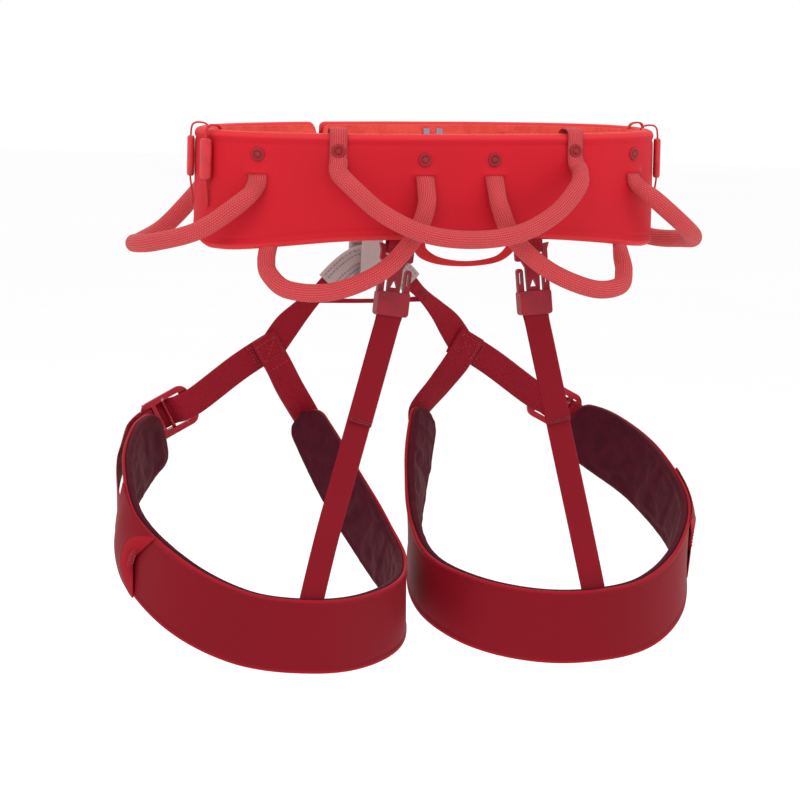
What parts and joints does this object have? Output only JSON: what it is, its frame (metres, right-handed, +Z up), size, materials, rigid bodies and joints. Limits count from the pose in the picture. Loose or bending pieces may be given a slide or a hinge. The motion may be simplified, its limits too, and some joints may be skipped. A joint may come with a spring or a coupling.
{
  "type": "climbing harness",
  "caption": "Climbing harness with a padded waist belt, padded leg loops, belay loop, stiffened gear loops, elastic rear risers with clip buckles, and tilting webbing buckles.",
  "frame": {"origin": "centre of the waist belt, at the level half way between the top edge and 40 mm below it", "axes": "+X towards the wearer's right, +Y the way the wearer faces, +Z up"},
  "size_m": [0.4266, 0.2267, 0.3694],
  "materials": {
    "belt_fabric": "woven shell cloth, matt",
    "foam": "closed-cell foam, matt",
    "lining_mesh": "knitted spacer mesh, matt",
    "leg_fabric": "woven shell cloth, matt",
    "leg_lining": "quilted spacer mesh, matt",
    "label": "woven label, matt",
    "tie_in_fabric": "tight nylon weave, matt",
    "buckle_metal": "anodised, satin",
    "clip_plastic": "moulded, slightly glossy",
    "dark_plastic": "moulded, satin",
    "loop_weave": "woven tube, matt",
    "elastic": "elastic webbing, matt",
    "webbing": "woven webbing, matt"
  },
  "bodies": {
    "waist_belt": {"belt_shell": "belt_fabric", "belt_foam": "foam", "belt_lining": "lining_mesh", "size_label": "label", "waist_webbing": "webbing", "waist_buckle_anchor": "webbing", "waist_buckle_frame": "buckle_metal", "waist_strap_keeper": "elastic", "upper_tie_in_loop": "tie_in_fabric", "lower_tie_in_sleeve": "tie_in_fabric", "leg_bridge_strap": "webbing", "gear_loop_rivets": "dark_plastic", "centre_loop_tabs": "loop_weave", "tool_slot_straps": "webbing", "tool_slot_sleeves": "dark_plastic", "left_riser_anchor": "elastic", "right_riser_anchor": "elastic", "left_riser_clip": "clip_plastic", "right_riser_clip": "clip_plastic"},
    "waist_buckle_slider": {"waist_buckle_slider": "buckle_metal"},
    "belay_loop": {"belay_loop": "webbing", "belay_loop_sleeve": "tie_in_fabric"},
    "haul_loop": {"haul_loop": "loop_weave"},
    "left_front_gear_loop": {"left_front_gear_sheath": "loop_weave", "left_front_gear_core": "dark_plastic"},
    "right_front_gear_loop": {"right_front_gear_sheath": "loop_weave", "right_front_gear_core": "dark_plastic"},
    "left_rear_gear_loop": {"left_rear_gear_sheath": "loop_weave", "left_rear_gear_core": "dark_plastic"},
    "right_rear_gear_loop": {"right_rear_gear_sheath": "loop_weave", "right_rear_gear_core": "dark_plastic"},
    "centre_gear_loop": {"centre_gear_sheath": "loop_weave", "centre_gear_core": "dark_plastic"},
    "left_leg": {"left_riser_buckle": "clip_plastic", "left_riser_strap": "elastic", "left_leg_shell": "leg_fabric", "left_leg_padding": "leg_lining", "left_leg_tie_in_strap": "webbing", "left_leg_junction_patch": "webbing", "left_leg_inner_strap": "webbing", "left_leg_outer_strap": "webbing", "left_leg_buckle_anchor": "webbing", "left_leg_buckle_frame": "buckle_metal", "left_leg_strap_keeper": "elastic"},
    "left_leg_buckle_slider": {"left_leg_buckle_slider": "buckle_metal"},
    "right_leg": {"right_riser_buckle": "clip_plastic", "right_riser_strap": "elastic", "right_leg_shell": "leg_fabric", "right_leg_padding": "leg_lining", "right_leg_tie_in_strap": "webbing", "right_leg_junction_patch": "webbing", "right_leg_inner_strap": "webbing", "right_leg_outer_strap": "webbing", "right_leg_buckle_anchor": "webbing", "right_leg_buckle_frame": "buckle_metal", "right_leg_strap_keeper": "elastic"},
    "right_leg_buckle_slider": {"right_leg_buckle_slider": "buckle_metal"}
  },
  "joints": [
    {"name": "left_front_gear_loop_swing", "type": "hinge", "parent": "waist_belt", "child": "left_front_gear_loop", "pos_m": [-0.1418, 0.0047, 0.0095], "axis": [-0.0209, 0.9979, -0.061], "range_deg": [-3, 30]},
    {"name": "right_front_gear_loop_swing", "type": "hinge", "parent": "waist_belt", "child": "right_front_gear_loop", "pos_m": [0.1418, 0.0047, 0.0095], "axis": [-0.0209, -0.9979, 0.061], "range_deg": [-3, 30]},
    {"name": "left_rear_gear_loop_swing", "type": "hinge", "parent": "waist_belt", "child": "left_rear_gear_loop", "pos_m": [-0.0775, -0.0606, -0.01775], "axis": [-0.826, 0.2612, -0.4995], "range_deg": [-3, 9]},
    {"name": "right_rear_gear_loop_swing", "type": "hinge", "parent": "waist_belt", "child": "right_rear_gear_loop", "pos_m": [0.0775, -0.0606, -0.01775], "axis": [-0.826, -0.2612, 0.4995], "range_deg": [-3, 9]},
    {"name": "centre_gear_loop_swing", "type": "hinge", "parent": "waist_belt", "child": "centre_gear_loop", "pos_m": [0, -0.0715, 0.02], "axis": [-1, 0, 0], "range_deg": [-3, 35]},
    {"name": "haul_loop_swing", "type": "hinge", "parent": "waist_belt", "child": "haul_loop", "pos_m": [0.0055, -0.065, -0.034], "axis": [-1, 0, 0], "range_deg": [-12, 12]},
    {"name": "belay_loop_swing", "type": "hinge", "parent": "waist_belt", "child": "belay_loop", "pos_m": [-0.008, 0.084, 0.012], "axis": [1, 0, 0], "range_deg": [-2, 2]},
    {"name": "left_leg_drop", "type": "hinge", "parent": "waist_belt", "child": "left_leg", "pos_m": [-0.038, 0.104, -0.079], "axis": [1, 0, 0], "range_deg": [0, 25]},
    {"name": "right_leg_drop", "type": "hinge", "parent": "waist_belt", "child": "right_leg", "pos_m": [0.028, 0.104, -0.079], "axis": [1, 0, 0], "range_deg": [0, 25]},
    {"name": "waist_buckle_tilt", "type": "hinge", "parent": "waist_belt", "child": "waist_buckle_slider", "pos_m": [-0.0741, 0.07362, 0.012], "axis": [0, 0, -1], "range_deg": [0, 30]},
    {"name": "right_leg_buckle_tilt", "type": "hinge", "parent": "right_leg", "child": "right_leg_buckle_slider", "pos_m": [0.14232, 0.1108, -0.1717], "axis": [0.4695, 0, 0.8829], "range_deg": [0, 30]},
    {"name": "left_leg_buckle_tilt", "type": "hinge", "parent": "left_leg", "child": "left_leg_buckle_slider", "pos_m": [-0.15232, 0.1108, -0.1717], "axis": [0.4695, 0, -0.8829], "range_deg": [0, 30]}
  ]
}
